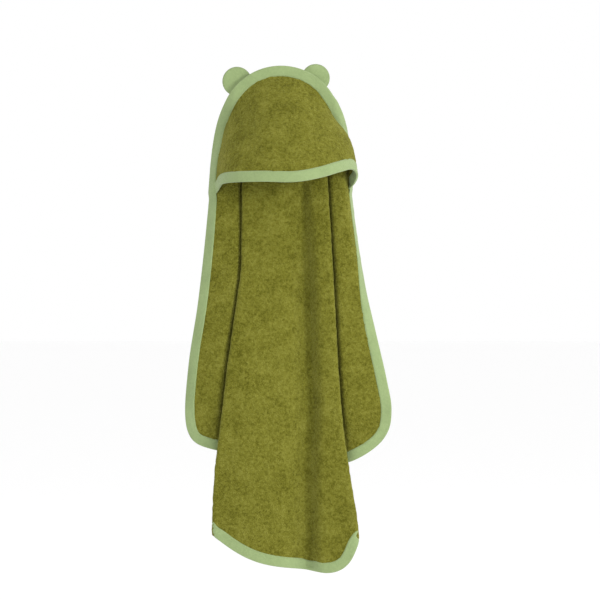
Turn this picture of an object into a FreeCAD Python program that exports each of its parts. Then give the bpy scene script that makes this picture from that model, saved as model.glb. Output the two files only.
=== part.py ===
"""Hooded baby towel: a square of terry cloth with rounded corners, hung by its hooded corner.

Millimetres, +Z up, the front towards -Y, +X to the right seen from the front. The origin is the point of
the hanging loop that rests on a hook, but each piece is first drawn as if the front of the cloth were at
y = 0, and the last step moves it to the hook. The cloth hangs in one Z pleat on each side: the middle of the towel
in front, a hidden layer behind it, and the towel's wing behind that. The hood bulges forward off the top.
"""
import FreeCAD, Part
import math
import os

from FreeCAD import Vector
from Sketcher import Constraint

os.makedirs("parts", exist_ok=True)

doc = FreeCAD.newDocument("hooded_towel")

# name, value, what it is
SIZES = [
    ("towel_side", 760, "side of the square before its corners are rounded"),
    ("towel_corner", 150, "radius of its rounded corners"),
    ("terry_thick", 4, "terry cloth with its loops on both faces"),
    ("tape_wide", 19, "width of the folded bias tape on each face"),
    ("tape_thick", 1.2, "one leg of the folded tape"),
    ("stitch_inset", 16.5, "from the tape's outer edge to its line of stitches"),
    ("stitch_wide", 0.8, "thread"),
    ("stitch_proud", 0.4, "how far the thread stands out of the tape"),
    ("crown_top", 7.5, "top of the hooded corner above the hook"),
    ("crown_half", 103, "half the width of the crown's arc"),
    ("crown_fall", 66, "how far the crown's ends are below its top"),
    ("shoulder_half", 134, "half the width at the shoulders"),
    ("shoulder_low", -168, "height of the shoulders"),
    ("wing_waist_left", -156, "left wing's edge half way down"),
    ("wing_waist_right", 153, "right wing's edge half way down"),
    ("wing_waist_high", -430, "height of those points"),
    ("wing_tip_left", -181.5, "outermost point of the left wing"),
    ("wing_tip_right", 207, "outermost point of the right wing"),
    ("wing_tip_high", -640, "height of the wing tips"),
    ("wing_toe_left", -142, "where the left wing's corner ends"),
    ("wing_toe_right", 161, "where the right wing's corner ends"),
    ("wing_toe_left_high", -706, "height of that point"),
    ("wing_toe_right_high", -718, "height of that point"),
    ("wing_rise", 0.3, "slope of the wings' lower edges"),
    ("front_left_top", -53, "front fold, left, at the top of the cloth"),
    ("front_left_low", -127, "the same at the bottom"),
    ("front_right_top", 69.5, "front fold, right, at the top of the cloth"),
    ("front_right_low", 132, "the same at the bottom"),
    ("back_left_top", -41, "hidden fold, left, at the top"),
    ("back_left_low", -20, "the same at the bottom"),
    ("back_right_top", 58, "hidden fold, right, at the top"),
    ("back_right_low", 20, "the same at the bottom"),
    ("fold_round_top", 4.2, "radius of every fold at the top"),
    ("fold_round_low", 14, "radius of every fold at the bottom"),
    ("hem_left_high", -867, "bottom edge at the left front fold"),
    ("hem_right_high", -905, "bottom edge at the right front fold"),
    ("hem_low_side", 84, "sideways place of the bottom corner"),
    ("hood_drop", 205, "hood's free edge below its tip"),
    ("hood_deep", 96, "how far the hood's free edge stands forward"),
    ("hood_gap", 1, "between the hood and the cloth behind it"),
    ("rim_bow", 8, "how far the hood's rim bows out at the shoulders"),
    ("ear_round", 27, "radius of an ear"),
    ("ear_thick", 5, "thickness of an ear"),
    ("ear_skin", 1, "one layer of ear cotton"),
    ("ear_seam", 3, "seam allowance round the wadding"),
    ("ear_rise", 6, "middle of an ear above its base"),
    ("ear_clear", 2.6, "between an ear's base and the tape"),
    ("ear_depth", 7, "middle of an ear behind the front of the cloth"),
    ("ear_left_turn", 48, "lean of the left ear from upright"),
    ("ear_right_turn", 35, "lean of the right ear from upright"),
    ("loop_round", 11, "radius of the hanging loop at mid tape"),
    ("loop_thick", 1.4, "thickness of its tape"),
    ("loop_wide", 8, "width of its tape"),
    ("loop_foot", -26, "height of the loop's bar tacks"),
    ("loop_depth", 7.8, "middle of the loop's tape behind the front"),
    ("tack_long", 3.2, "length of a bar tack"),
    ("tack_high", 1.4, "height of a bar tack"),
    ("label_side", 31, "middle of the care label"),
    ("label_wide", 20, "width of the care label"),
    ("label_tall", 30, "length of the care label"),
    ("label_thick", 0.6, "two layers of satin"),
    ("label_high", -18, "top of the care label"),
    ("label_depth", 4.5, "middle of the care label behind the front"),
]


def fill_sheet():
    sheet = doc.addObject("Spreadsheet::Sheet", "sizes")
    for row, (name, value, meaning) in enumerate(SIZES, start=1):
        sheet.set(f"A{row}", name)
        sheet.set(f"B{row}", str(value))
        sheet.set(f"C{row}", meaning)
        sheet.setAlias(f"B{row}", name)
    doc.recompute()
    return sheet


sheet = fill_sheet()


def size(name):
    return float(getattr(sheet, name))


# Places worked out from the sizes

TOWEL_DROP = size("towel_side") * math.sqrt(2) - 2 * size("towel_corner") * (math.sqrt(2) - 1)
BOTTOM = size("crown_top") - TOWEL_DROP
SECTION_TOP = 20.0
SECTION_LOW = -960.0
FAR = 300.0
HALF_TERRY = size("terry_thick") / 2
CROWN_RADIUS = (size("crown_half") ** 2 + size("crown_fall") ** 2) / (2 * size("crown_fall"))


def between(name, height):
    """A size that changes evenly from NAME_top at the top of the cloth to NAME_low at the bottom."""
    share = (SECTION_TOP - height) / (SECTION_TOP - SECTION_LOW)
    return size(f"{name}_top") + share * (size(f"{name}_low") - size(f"{name}_top"))


def wing_depth(height):
    """The middle of the wings' layer, which two folds put behind the front layer."""
    return 4 * between("fold_round", height)


# The outlines, as seen from the front. Each is a closed wire at y = 0.


def flat(x, z):
    return Vector(x, 0, z)


def line(start, end):
    return Part.LineSegment(start, end).toShape()


def arc(start, middle, end):
    return Part.Arc(start, middle, end).toShape()


def chain(points):
    return [line(a, b) for a, b in zip(points, points[1:])]


def crown():
    """The hooded corner's arc, from its left end over the top to its right end."""
    low = size("crown_top") - size("crown_fall")
    left, right = flat(-size("crown_half"), low), flat(size("crown_half"), low)
    return left, right, arc(left, flat(0, size("crown_top")), right)


def wing_outline():
    left, right, top = crown()
    shoulder_left = flat(-size("shoulder_half"), size("shoulder_low"))
    shoulder_right = flat(size("shoulder_half"), size("shoulder_low"))
    tip_left = flat(size("wing_tip_left"), size("wing_tip_high"))
    tip_right = flat(size("wing_tip_right"), size("wing_tip_high"))
    toe_left = flat(size("wing_toe_left"), size("wing_toe_left_high"))
    toe_right = flat(size("wing_toe_right"), size("wing_toe_right_high"))
    round_left = toe_left * 0.38 + tip_left * 0.62 + Vector(-12, 0, -11)
    round_right = toe_right * 0.38 + tip_right * 0.62 + Vector(12, 0, -11)
    bend_left = flat(-size("shoulder_half") + 9, size("shoulder_low") + 62)
    bend_right = flat(size("shoulder_half") - 9, size("shoulder_low") + 62)
    edges = [top, arc(right, bend_right, shoulder_right)]
    waist_right = flat(size("wing_waist_right"), size("wing_waist_high"))
    edges += [arc(shoulder_right, waist_right, tip_right), arc(tip_right, round_right, toe_right)]
    edges += chain([toe_right, hidden_corner(1), hidden_corner(-1), toe_left])
    waist_left = flat(size("wing_waist_left"), size("wing_waist_high"))
    edges += [arc(toe_left, round_left, tip_left), arc(tip_left, waist_left, shoulder_left)]
    edges += [arc(shoulder_left, bend_left, left)]
    return Part.Wire(edges)


def hidden_corner(side):
    """Where a wing's lower edge reaches the hidden fold."""
    name = "right" if side > 0 else "left"
    x = side * size("back_right_low")
    toe = size(f"wing_toe_{name}")
    return flat(x, size(f"wing_toe_{name}_high") - size("wing_rise") * abs(toe - x))


def hem_end(side):
    name = "right" if side > 0 else "left"
    high = size(f"hem_{name}_high")
    return flat(between(f"front_{name}", high), high)


def around(points):
    """Closes a layer's lower edge over the crown, well outside the layer on both sides."""
    left, right, top = crown()
    low_left, low_right = points[0], points[-1]
    edges = [top]
    edges += chain([right, flat(FAR, right.z), flat(FAR, low_right.z), low_right])
    edges += chain([low_left, flat(-FAR, low_left.z), flat(-FAR, left.z), left])
    return edges


def hidden_outline():
    points = [hem_end(-1), hidden_corner(-1), hidden_corner(1), hem_end(1)]
    return Part.Wire(Part.sortEdges(around(points) + chain(points))[0])


def front_outline():
    left, right = hem_end(-1), hem_end(1)
    corner = flat(size("hem_low_side"), BOTTOM)
    turn_left = flat(0, BOTTOM + 9)
    turn_right = flat(size("front_right_low") - 18, BOTTOM + 12)
    hem = [arc(left, left * 0.5 + turn_left * 0.5 + Vector(0, 0, -12), turn_left)]
    hem += [line(turn_left, corner), arc(corner, turn_right, right)]
    return Part.Wire(Part.sortEdges(around([left, right]) + hem)[0])


def prism(wire, inset):
    """Everything in front of and behind an outline that is this far inside it."""
    if inset:
        wire = wire.makeOffset2D(-inset, 0, False, False, False)
        if wire.ShapeType != "Wire":
            wire = wire.Wires[0]
    face = Part.Face(wire)
    face.translate(Vector(0, -FAR, 0))
    return face.extrude(Vector(0, 2 * FAR, 0))


def slab(near, far):
    """The depths of one layer: near and far count fold radii behind the front layer."""
    top, low = size("fold_round_top"), size("fold_round_low")
    points = [(near * top, SECTION_TOP + 40), (far * top, SECTION_TOP + 40)]
    points += [(far * low, SECTION_LOW - 40), (near * low, SECTION_LOW - 40)]
    corners = [Vector(-2 * FAR, y, z) for y, z in points]
    return Part.Face(Part.makePolygon(corners + corners[:1])).extrude(Vector(4 * FAR, 0, 0))


OUTLINES = [(front_outline(), -12, 1), (hidden_outline(), 1, 3), (wing_outline(), 3, 15)]


def region(inset):
    """What lies inside the cloth's edge by this much, layer by layer."""
    layers = [prism(wire, inset).common(slab(near, far)) for wire, near, far in OUTLINES]
    return layers[0].multiFuse(layers[1:])


def band(outer, inner):
    """The strip between two distances from the cloth's edge, layer by layer."""
    layers = []
    for wire, near, far in OUTLINES:
        strip = prism(wire, outer).cut(prism(wire, inner))
        layers.append(strip.common(slab(near, far)))
    return layers[0].multiFuse(layers[1:])


# The pleated cloth, as a loft between its section at the top and its section at the bottom


def pleat_section(height, half):
    """The closed outline of a pleated layer that is 2 * half thick, at one height."""
    step = 2 * between("fold_round", height)
    left_front, right_front = between("front_left", height), between("front_right", height)
    left_back, right_back = between("back_left", height), between("back_right", height)
    runs = [(-FAR, left_back, 2 * step), (left_back, left_front, step), (left_front, right_front, 0)]
    runs += [(right_front, right_back, step), (right_back, FAR, 2 * step)]

    def side(offset):
        edges = []
        for number, (start, end, depth) in enumerate(runs):
            way = 1 if end > start else -1
            y = depth + offset * way
            if edges:
                before = edges[-1].Vertexes[-1].Point
                after = Vector(start, y, height)
                bulge = -way * abs(y - before.y) / 2
                edges.append(arc(before, Vector(start + bulge, (y + before.y) / 2, height), after))
            edges.append(line(Vector(start, y, height), Vector(end, y, height)))
        return edges

    near, far = side(-half), side(half)
    ends = [line(near[0].Vertexes[0].Point, far[0].Vertexes[0].Point)]
    ends += [line(near[-1].Vertexes[-1].Point, far[-1].Vertexes[-1].Point)]
    return Part.Wire(Part.sortEdges(near + ends + far)[0])


def pleated(half):
    sections = [pleat_section(SECTION_LOW, half), pleat_section(SECTION_TOP, half)]
    return Part.makeLoft(sections, True, True)


def soft_piece(name, shape):
    """One cloth piece. A cut can leave it in several solids, and slivers under a cubic mm are dropped."""
    solids = [solid for solid in shape.Solids if solid.Volume > 1]
    feature = doc.addObject("Part::Feature", name)
    feature.Label = name
    feature.Shape = solids[0] if len(solids) == 1 else Part.makeCompound(solids)
    return feature


def make_towel():
    terry = pleated(HALF_TERRY)
    tape = pleated(HALF_TERRY + size("tape_thick"))
    thread = pleated(HALF_TERRY + size("tape_thick") + size("stitch_proud"))
    panel = terry.common(region(size("tape_thick")))
    binding = tape.common(band(0, size("tape_wide"))).cut(panel)
    inset = size("stitch_inset")
    stitches = thread.common(band(inset, inset + size("stitch_wide"))).cut(tape)
    return [
        soft_piece("towel_panel", panel),
        soft_piece("edge_binding", binding),
        soft_piece("edge_binding_stitching", stitches),
    ]


# The hood: a lofted shell from the crown to its free edge

HOOD_SECTIONS = 17
HOOD_STEPS = 5
HOOD_REACH = 0.98
CROWN_SHARE = 0.5


def hood_rim(share):
    """The rim inside the tape on one side: share runs from 0 at the top to 1 at the hood's corner."""
    inset = size("tape_wide") + size("hood_gap")
    radius = CROWN_RADIUS - inset
    if share < CROWN_SHARE:
        turn = math.asin(size("crown_half") / CROWN_RADIUS) * share / CROWN_SHARE
        return radius * math.sin(turn), size("crown_top") - inset - radius * (1 - math.cos(turn))
    x, z = hood_rim(CROWN_SHARE - 1e-6)
    low = (share - CROWN_SHARE) / (1 - CROWN_SHARE)
    end_x, end_z = size("shoulder_half") - inset - 3, size("shoulder_low") + 18
    bow = size("rim_bow") * math.sin(math.pi * low)
    return x + (end_x - x) * low + bow, z + (end_z - z) * low


def hood_point(across, down):
    """A point of the hood's middle surface. across runs from -1 to 1 and down from the crown to the edge."""
    rim_x, rim_z = hood_rim(abs(across))
    rim_x = math.copysign(rim_x, across)
    back = min(1.0, max(0.0, (abs(across) - CROWN_SHARE + 0.08) / 0.3))
    front_y = -HALF_TERRY * 2 - size("hood_gap")
    rim_y = front_y + (wing_depth(rim_z) - 2 * HALF_TERRY) * (3 * back**2 - 2 * back**3)
    swing = across * math.pi / 2
    edge_x = (size("shoulder_half") - size("tape_wide")) * math.sin(swing)
    edge_z = size("crown_top") - size("hood_drop") - 12 * across**2
    edge_y = wing_depth(edge_z) + front_y - 1 - (size("hood_deep") + 12) * math.cos(swing)
    belly = math.sin(math.pi * down)
    x = rim_x + (edge_x - rim_x) * down + 5 * belly * math.sin(swing)
    y = rim_y + (edge_y - rim_y) * down - 20 * belly * math.cos(swing)
    return Vector(x, y, rim_z + (edge_z - rim_z) * down + 6 * belly * math.cos(swing))


def hood_normal(across, down):
    step = 0.01
    sideways = hood_point(across + step, down) - hood_point(across - step, down)
    downwards = hood_point(across, down + step) - hood_point(across, down - step)
    return downwards.cross(sideways).normalize()


def curve_through(points):
    curve = Part.BSplineCurve()
    curve.interpolate(points)
    return curve.toShape()


def hood_shell(first, last, front, back):
    """The hood's surface from down = first to last, front mm before it and back mm behind it."""
    sections, caps = [], []
    for number in range(HOOD_SECTIONS):
        across = HOOD_REACH * (2 * number / (HOOD_SECTIONS - 1) - 1)
        outer, inner = [], []
        for step in range(HOOD_STEPS + 1):
            down = first + (last - first) * step / HOOD_STEPS
            point, normal = hood_point(across, down), hood_normal(across, down)
            outer.append(point + normal * front)
            inner.append(point - normal * back)
        caps.append(Part.makeRuledSurface(curve_through(outer), curve_through(inner)))
        inner.reverse()
        edges = [curve_through(outer), line(outer[-1], inner[0])]
        edges += [curve_through(inner), line(inner[-1], outer[0])]
        sections.append(Part.Wire(edges))
    sides = Part.makeLoft(sections, False, False)
    shell = Part.makeShell(sides.Faces + [caps[0], caps[-1]])
    shell.sewShape()
    solid = Part.makeSolid(shell)
    return solid if solid.Volume > 0 else solid.reversed()


def make_hood():
    drop = size("hood_drop") - size("tape_wide")
    tape_start = 1 - size("tape_wide") / drop
    stitch_start = 1 - size("stitch_inset") / drop
    stitch_end = stitch_start + size("stitch_wide") / drop
    proud = size("tape_thick") + size("stitch_proud")
    panel = hood_shell(0, 0.99, HALF_TERRY, HALF_TERRY)
    tape_half = HALF_TERRY + size("tape_thick")
    tape = hood_shell(tape_start, 1, tape_half, tape_half)
    thread = hood_shell(stitch_start, stitch_end, HALF_TERRY + proud, HALF_TERRY + proud)
    return [
        soft_piece("hood_panel", panel),
        soft_piece("hood_binding", tape.cut(panel)),
        soft_piece("hood_binding_stitching", thread.cut(tape).cut(panel)),
    ]


# The ears, the loop and the label: sketched pieces


def plane(body, role):
    return next(item for item in body.Origin.OriginFeatures if item.Role == role)


def sketch_on(body, name, role):
    sketch = body.newObject("Sketcher::SketchObject", name)
    sketch.AttachmentSupport = (plane(body, role), "")
    sketch.MapMode = "FlatFace"
    return sketch


def new_body(name, place=FreeCAD.Placement()):
    body = doc.addObject("PartDesign::Body", name)
    body.Label = name
    body.Placement = place
    return body


def bind(sketch, constraint, expression):
    """Adds a dimension and binds it to the sheet."""
    number = sketch.addConstraint(constraint)
    sketch.setExpression(f"Constraints[{number}]", expression)


def ear_sketch(body, name, inset):
    """A round ear cut off straight at its base. The base is on the sketch's X axis when inset is 0."""
    sketch = sketch_on(body, name, "XZ_Plane")
    radius = size("ear_round") - inset
    lean = math.asin((inset - size("ear_rise")) / radius)
    circle = Part.Circle(Vector(0, size("ear_rise"), 0), Vector(0, 0, 1), radius)
    sketch.addGeometry(Part.ArcOfCircle(circle, lean, math.pi - lean))
    half = radius * math.cos(lean)
    sketch.addGeometry(Part.LineSegment(Vector(-half, inset, 0), Vector(half, inset, 0)))
    sketch.addConstraint(Constraint("Coincident", 0, 2, 1, 1))
    sketch.addConstraint(Constraint("Coincident", 0, 1, 1, 2))
    sketch.addConstraint(Constraint("Horizontal", 1))
    sketch.addConstraint(Constraint("PointOnObject", 0, 3, -2))
    bind(sketch, Constraint("DistanceY", -1, 1, 0, 3, size("ear_rise")), "sizes.ear_rise")
    if inset:
        bind(sketch, Constraint("Radius", 0, radius), "sizes.ear_round - sizes.ear_seam")
        bind(sketch, Constraint("DistanceY", -1, 1, 1, 1, inset), "sizes.ear_seam")
    else:
        bind(sketch, Constraint("Radius", 0, radius), "sizes.ear_round")
        sketch.addConstraint(Constraint("PointOnObject", 1, 1, -1))
    return sketch


def pad(body, sketch, length, back=False, both=False):
    feature = body.newObject("PartDesign::Pad", sketch.Name + "_pad")
    feature.Profile = sketch
    feature.setExpression("Length", length)
    feature.Reversed = back
    feature.Midplane = both


def pocket(body, sketch, length, back):
    feature = body.newObject("PartDesign::Pocket", sketch.Name + "_pocket")
    feature.Profile = sketch
    feature.setExpression("Length", length)
    feature.Reversed = back


def ear_place(turn, side):
    """An ear's base lies along the crown's arc, turn degrees to one side of its top."""
    centre_z = size("crown_top") - CROWN_RADIUS
    angle = math.radians(turn)
    reach = CROWN_RADIUS + size("ear_clear")
    spot = Vector(side * reach * math.sin(angle), size("ear_depth"), centre_z + reach * math.cos(angle))
    return FreeCAD.Placement(spot, FreeCAD.Rotation(Vector(0, 1, 0), side * turn))


def make_ear(side, turn):
    name = "ear_right" if side > 0 else "ear_left"
    place = ear_place(turn, side)
    wadding = new_body(f"{name}_wadding", place)
    core = ear_sketch(wadding, f"{name}_core", size("ear_seam"))
    pad(wadding, core, "sizes.ear_thick - 2 * sizes.ear_skin", both=True)
    skins = []
    for part, back in (("front", False), ("back", True)):
        skin = new_body(f"{name}_{part}", place)
        pad(skin, ear_sketch(skin, f"{name}_{part}_shape", 0), "sizes.ear_thick / 2", back=back)
        doc.recompute()
        hollow = ear_sketch(skin, f"{name}_{part}_hollow", size("ear_seam"))
        pocket(skin, hollow, "sizes.ear_thick / 2 - sizes.ear_skin", not back)
        skins.append(skin)
    return skins + [wadding, make_ear_stitching(name, place)]


def make_ear_stitching(name, place):
    """The line of stitches round an ear, as one thread proud of both faces."""
    middle = Vector(0, 0, size("ear_rise"))
    radius = size("ear_round") - size("ear_seam") / 2
    lean = math.degrees(math.asin(size("ear_rise") / radius)) - 4
    half = size("stitch_wide") / 2
    deep = size("ear_thick") + 2 * size("stitch_proud")
    start = middle - Vector(0, deep / 2, 0)
    sweep, towards_back = 180 + 2 * lean, Vector(0, 1, 0)
    rings = [Part.makeCylinder(radius + step, deep, start, towards_back, sweep) for step in (half, -half)]
    ring = rings[0].cut(rings[1])
    ring.rotate(middle, towards_back, -90 - lean)
    core_start = middle - Vector(0, size("ear_thick") / 2, 0)
    core = Part.makeCylinder(size("ear_round") + 1, size("ear_thick"), core_start, towards_back)
    piece = soft_piece(f"{name}_stitching", ring.cut(core))
    piece.Placement = place
    return piece


def make_loop():
    """A tape bent to an arch: two straight legs and half a ring, its width front to back."""
    loop = new_body("hanging_loop", FreeCAD.Placement(Vector(0, size("loop_depth"), 0), FreeCAD.Rotation()))
    sketch = sketch_on(loop, "loop_arch", "XZ_Plane")
    outer = size("loop_round") + size("loop_thick") / 2
    inner = outer - size("loop_thick")
    foot, spring = size("loop_foot"), -inner
    centre = Vector(0, spring, 0)
    for radius in (outer, inner):
        sketch.addGeometry(Part.ArcOfCircle(Part.Circle(centre, Vector(0, 0, 1), radius), 0, math.pi))
        for side in (1, -1):
            high, low = Vector(side * radius, spring, 0), Vector(side * radius, foot, 0)
            sketch.addGeometry(Part.LineSegment(high, low))
    for side, first, second in ((1, 1, 4), (-1, 2, 5)):
        sketch.addGeometry(Part.LineSegment(Vector(side * outer, foot, 0), Vector(side * inner, foot, 0)))
        number = 6 if side > 0 else 7
        sketch.addConstraint(Constraint("Coincident", first, 2, number, 1))
        sketch.addConstraint(Constraint("Coincident", second, 2, number, 2))
        sketch.addConstraint(Constraint("Horizontal", number))
    for arch, right, left in ((0, 1, 2), (3, 4, 5)):
        sketch.addConstraint(Constraint("Tangent", arch, 1, right, 1))
        sketch.addConstraint(Constraint("Tangent", arch, 2, left, 1))
        sketch.addConstraint(Constraint("Vertical", right))
        sketch.addConstraint(Constraint("Vertical", left))
    sketch.addConstraint(Constraint("Coincident", 0, 3, 3, 3))
    sketch.addConstraint(Constraint("PointOnObject", 0, 3, -2))
    bind(sketch, Constraint("Radius", 0, outer), "sizes.loop_round + sizes.loop_thick / 2")
    bind(sketch, Constraint("Radius", 3, inner), "sizes.loop_round - sizes.loop_thick / 2")
    bind(sketch, Constraint("DistanceY", 0, 3, -1, 1, inner), "sizes.loop_round - sizes.loop_thick / 2")
    bind(sketch, Constraint("DistanceY", 6, 1, -1, 1, -foot), "-sizes.loop_foot")
    pad(loop, sketch, "sizes.loop_wide", both=True)
    return loop


def make_block(name, wide, deep, tall, middle):
    """A plain rectangular solid about its middle, with its three sizes given as sheet expressions."""
    box = doc.addObject("Part::Box", name)
    box.Label = name
    box.setExpression("Length", wide)
    box.setExpression("Width", deep)
    box.setExpression("Height", tall)
    doc.recompute()
    half = Vector(box.Length.Value / 2, box.Width.Value / 2, box.Height.Value / 2)
    box.Placement = FreeCAD.Placement(middle - half, FreeCAD.Rotation())
    return box


def make_tacks():
    """Two bar tacks, one across each foot of the loop, as one group of thread."""
    tacks = []
    for side, name in ((-1, "tack_left"), (1, "tack_right")):
        middle = Vector(side * size("loop_round"), size("loop_depth"), size("loop_foot"))
        deep = "sizes.loop_wide + 2 * sizes.stitch_proud"
        tacks.append(make_block(name, "sizes.tack_long", deep, "sizes.tack_high", middle))
    group = doc.addObject("Part::Compound", "loop_bartacks")
    group.Label = "loop_bartacks"
    group.Links = tacks
    return group


def make_label():
    middle = Vector(size("label_side"), size("label_depth"), size("label_high") - size("label_tall") / 2)
    label = make_block("care_label", "sizes.label_wide", "sizes.label_thick", "sizes.label_tall", middle)
    seam = Vector(size("label_side"), size("label_depth"), size("label_high") - size("stitch_wide"))
    deep = "sizes.label_thick + 2 * sizes.stitch_proud"
    stitches = make_block("label_stitching", "sizes.label_wide - 2", deep, "sizes.stitch_wide", seam)
    return [label, stitches]


def check(pieces):
    """Stops if anything failed to build or a piece isn't a sound solid."""
    doc.recompute()
    for item in doc.Objects:
        if "Invalid" in item.State or "Error" in item.State:
            raise RuntimeError(f"{item.Label} failed: {item.State}")
    for piece in pieces:
        shape = piece.Shape
        if shape.isNull() or not shape.isValid() or not shape.Solids:
            raise RuntimeError(f"{piece.Label} has no sound shape")
        print(f"{piece.Label}: {len(shape.Solids)} solid, {shape.Volume / 1000:.2f} cm3")


PIECES = make_towel() + make_hood()
PIECES += make_ear(-1, size("ear_left_turn")) + make_ear(1, size("ear_right_turn"))
PIECES += [make_loop(), make_tacks()] + make_label()
for piece in PIECES:
    piece.Placement = FreeCAD.Placement(Vector(0, -size("loop_depth"), 0), FreeCAD.Rotation()) * piece.Placement
check(PIECES)
for piece in PIECES:
    piece.Shape.exportStep(f"parts/{piece.Label}.step")
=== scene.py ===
"""Looks of the hooded baby towel: terry cloth hung by its hooded corner, bias tape edges and two ears.

Metres, in the CAD frame: +Z up, the front towards -Y, +X to the right seen from the front. The towel is one
sheet whose columns run down the cloth and whose rows run across it. Its shape comes from how a level cut
through the hanging cloth turns at each fold. Shapes are worked out with the middle of the front layer at
y = 0 and moved by HANG when they become meshes, so that the origin is the point where the loop rests on its
hook.
"""
import math

import bpy
import numpy as np
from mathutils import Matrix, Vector
from mathutils.bvhtree import BVHTree
from mathutils.kdtree import KDTree


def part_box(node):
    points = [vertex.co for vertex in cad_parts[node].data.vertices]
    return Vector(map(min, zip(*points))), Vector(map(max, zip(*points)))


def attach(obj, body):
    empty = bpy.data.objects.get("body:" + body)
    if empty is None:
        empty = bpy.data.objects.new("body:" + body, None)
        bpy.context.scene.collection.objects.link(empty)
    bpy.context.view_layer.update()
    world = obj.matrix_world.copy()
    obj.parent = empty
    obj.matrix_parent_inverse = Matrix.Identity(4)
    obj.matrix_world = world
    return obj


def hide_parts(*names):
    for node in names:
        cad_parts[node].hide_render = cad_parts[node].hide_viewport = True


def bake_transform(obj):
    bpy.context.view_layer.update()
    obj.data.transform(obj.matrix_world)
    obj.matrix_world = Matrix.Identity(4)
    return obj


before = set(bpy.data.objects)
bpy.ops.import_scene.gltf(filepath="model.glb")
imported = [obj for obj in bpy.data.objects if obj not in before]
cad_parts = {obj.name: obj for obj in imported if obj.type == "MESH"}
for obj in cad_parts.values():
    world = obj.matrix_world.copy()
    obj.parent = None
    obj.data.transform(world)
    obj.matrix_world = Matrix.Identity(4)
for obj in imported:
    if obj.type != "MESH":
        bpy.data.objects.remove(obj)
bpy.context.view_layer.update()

# Sizes

HANG = 0.0078
TERRY = 0.0036
TAPE = 0.0011
TAPE_WIDE = 0.019
CROWN_TOP = 0.0075
CROWN_HALF = 0.103
CROWN_FALL = 0.066
TOWEL_SIDE = 0.76
TOWEL_CORNER = 0.15
DROP = TOWEL_SIDE * math.sqrt(2) - 2 * TOWEL_CORNER * (math.sqrt(2) - 1)
BOTTOM = CROWN_TOP - DROP


def smooth(low, high, value):
    """Rises smoothly from 0 at low to 1 at high."""
    share = np.clip((np.asarray(value, float) - low) / (high - low), 0, 1)
    return share * share * (3 - 2 * share)


def hermite(t, start, end, leave, arrive):
    """The cubic from start to end, as t goes from 0 to 1, with these tangents at its ends."""
    path = (2 * t**3 - 3 * t**2 + 1) * start + (t**3 - 2 * t**2 + t) * leave
    return path + (3 * t**2 - 2 * t**3) * end + (t**3 - t**2) * arrive


def curve(points, at):
    """A smooth curve through (place, value) points that doesn't overshoot between them."""
    x, y = (np.array(column, float) for column in zip(*sorted(points)))
    step = np.diff(x)
    slope = np.diff(y) / step
    tangent = np.zeros(len(x))
    tangent[0], tangent[-1] = slope[0], slope[-1]
    for i in range(1, len(x) - 1):
        if slope[i - 1] * slope[i] > 0:
            w1, w2 = 2 * step[i] + step[i - 1], step[i] + 2 * step[i - 1]
            tangent[i] = (w1 + w2) / (w1 / slope[i - 1] + w2 / slope[i])
    at = np.clip(np.asarray(at, float), x[0], x[-1])
    i = np.clip(np.searchsorted(x, at) - 1, 0, len(step) - 1)
    t = (at - x[i]) / step[i]
    return hermite(t, y[i], y[i + 1], step[i] * tangent[i], step[i] * tangent[i + 1])


# The towel's outline as it hangs, and its folds, side by side: -1 is the left and 1 is the right

CROWN_RADIUS = (CROWN_HALF**2 + CROWN_FALL**2) / (2 * CROWN_FALL)
CROWN_SIDE = {
    -1: [(0.103, -0.0585), (0.110, -0.0735), (0.116, -0.0915), (0.1215, -0.113), (0.125, -0.135),
         (0.1285, -0.17)],
    1: [(0.103, -0.0585), (0.1105, -0.0735), (0.117, -0.0915), (0.1215, -0.113), (0.125, -0.135),
        (0.127, -0.17)],
}
SHOULDER = {-1: 0.1285, 1: 0.127}
SHOULDER_HIGH = -0.17
WING_EDGE = {
    -1: [(-0.17, 0.1285), (-0.231, 0.133), (-0.43, 0.154), (-0.561, 0.1735), (-0.643, 0.1795),
         (-0.673, 0.1765), (-0.692, 0.168)],
    1: [(-0.17, 0.127), (-0.22, 0.1305), (-0.327, 0.144), (-0.411, 0.158), (-0.505, 0.18), (-0.58, 0.1975),
        (-0.636, 0.207), (-0.666, 0.205), (-0.69, 0.194)],
}
WING_HEM = {
    -1: [(0.0, -0.745), (0.12, -0.712), (0.142, -0.7065), (0.157, -0.701), (0.168, -0.692), (0.19, -0.66)],
    1: [(0.0, -0.772), (0.12, -0.737), (0.142, -0.729), (0.161, -0.7185), (0.18, -0.705), (0.194, -0.69),
        (0.21, -0.66)],
}
FRONT_FOLD = {
    -1: [(0.02, 0.060), (-0.2, 0.0715), (-0.36, 0.0735), (-0.43, 0.0815), (-0.514, 0.094), (-0.645, 0.110),
         (-0.77, 0.1245), (-0.95, 0.132)],
    1: [(0.02, 0.072), (-0.2, 0.086), (-0.437, 0.1), (-0.58, 0.108), (-0.674, 0.1165), (-0.77, 0.1305),
        (-0.885, 0.146), (-0.95, 0.147)],
}
FOLD_END = {-1: -0.871, 1: -0.883}
HEM = [(-0.135, -0.8675), (-0.125, -0.8725), (-0.0819, -0.9022), (-0.036, -0.922), (0.0, -0.929),
       (0.03, -0.9328), (0.06, -0.9375), (0.087, BOTTOM + 0.0012), (0.108, -0.9375), (0.1215, -0.931),
       (0.1385, -0.912), (0.144, -0.887), (0.15, -0.87)]
GROOVE = [(0.0, 0.034), (-0.227, 0.039), (-0.384, 0.0495), (-0.54, 0.0545), (-0.628, 0.0575), (-0.754, 0.053),
          (-0.95, 0.0525)]


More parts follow.
